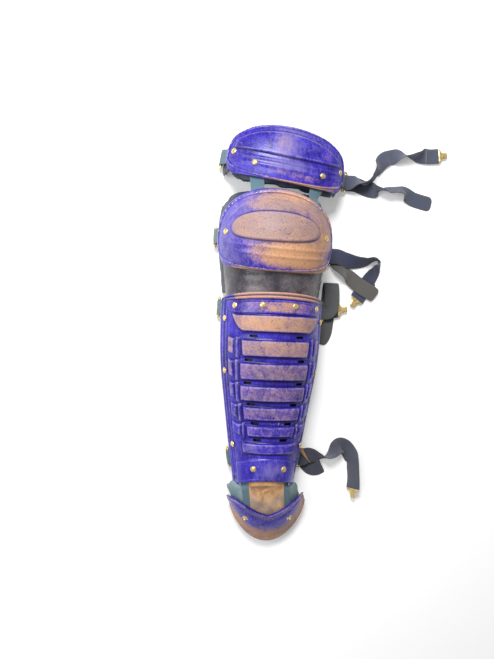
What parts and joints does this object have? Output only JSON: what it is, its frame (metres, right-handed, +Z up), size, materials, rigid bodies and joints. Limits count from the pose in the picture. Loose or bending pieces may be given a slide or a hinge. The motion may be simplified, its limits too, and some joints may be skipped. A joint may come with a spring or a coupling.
{
  "type": "catcher leg guard",
  "caption": "Catcher's leg guard with moulded blue thigh, knee, shin and toe plates on padded troughs, vent slots, webbing, wire rings and elastic straps with hooks.",
  "frame": {"origin": "under the middle of the guard's box, straps included, on the floor it lies on", "axes": "+Y from the toe to the thigh, +X to the side its straps lie on, +Z up from the leg side to the plates"},
  "size_m": [0.3962, 0.6668, 0.1274],
  "materials": {
    "blue_plastic": "worn gloss with brown dirt",
    "grey_band": "smooth, slightly shiny",
    "navy_padding": "matt covered foam",
    "tan_suede": "wrinkled suede",
    "slate_webbing": "woven",
    "grey_elastic": "woven elastic",
    "brass": "worn plating"
  },
  "bodies": {
    "root": {"ankle_hook": "brass", "ankle_ring_left": "brass", "ankle_ring_right": "brass", "ankle_strap": "grey_elastic", "ankle_tab_left": "slate_webbing", "ankle_tab_right": "slate_webbing", "calf_hook": "brass", "calf_ring_left": "brass", "calf_ring_right": "brass", "calf_strap": "grey_elastic", "calf_tab_left": "slate_webbing", "calf_tab_right": "slate_webbing", "instep_panel": "tan_suede", "instep_strap_left": "slate_webbing", "instep_strap_right": "slate_webbing", "knee_bridge": "grey_band", "knee_hook": "brass", "knee_pad": "navy_padding", "knee_plate": "blue_plastic", "knee_ring_left": "brass", "knee_ring_right": "brass", "knee_strap": "grey_elastic", "knee_tab_left": "slate_webbing", "knee_tab_right": "slate_webbing", "link_tab_left": "slate_webbing", "link_tab_right": "slate_webbing", "rivet_ankle_left": "brass", "rivet_ankle_right": "brass", "rivet_flange_lower_left": "brass", "rivet_flange_lower_right": "brass", "rivet_flange_upper_left": "brass", "rivet_flange_upper_right": "brass", "rivet_knee_left": "brass", "rivet_knee_right": "brass", "rivet_side_left": "brass", "rivet_side_right": "brass", "rivet_thigh_inner_left": "brass", "rivet_thigh_inner_right": "brass", "rivet_thigh_outer_left": "brass", "rivet_thigh_outer_right": "brass", "rivet_toe_left": "brass", "rivet_toe_right": "brass", "rivet_top_inner_left": "brass", "rivet_top_inner_right": "brass", "rivet_top_outer_left": "brass", "rivet_top_outer_right": "brass", "shin_pad": "navy_padding", "shin_plate": "blue_plastic", "thigh_hook": "brass", "thigh_pad": "navy_padding", "thigh_plate": "blue_plastic", "thigh_ring_left": "brass", "thigh_ring_right": "brass", "thigh_strap": "grey_elastic", "thigh_tab_left": "slate_webbing", "thigh_tab_right": "slate_webbing", "toe_pad": "slate_webbing", "toe_plate": "blue_plastic"}
  },
  "joints": []
}
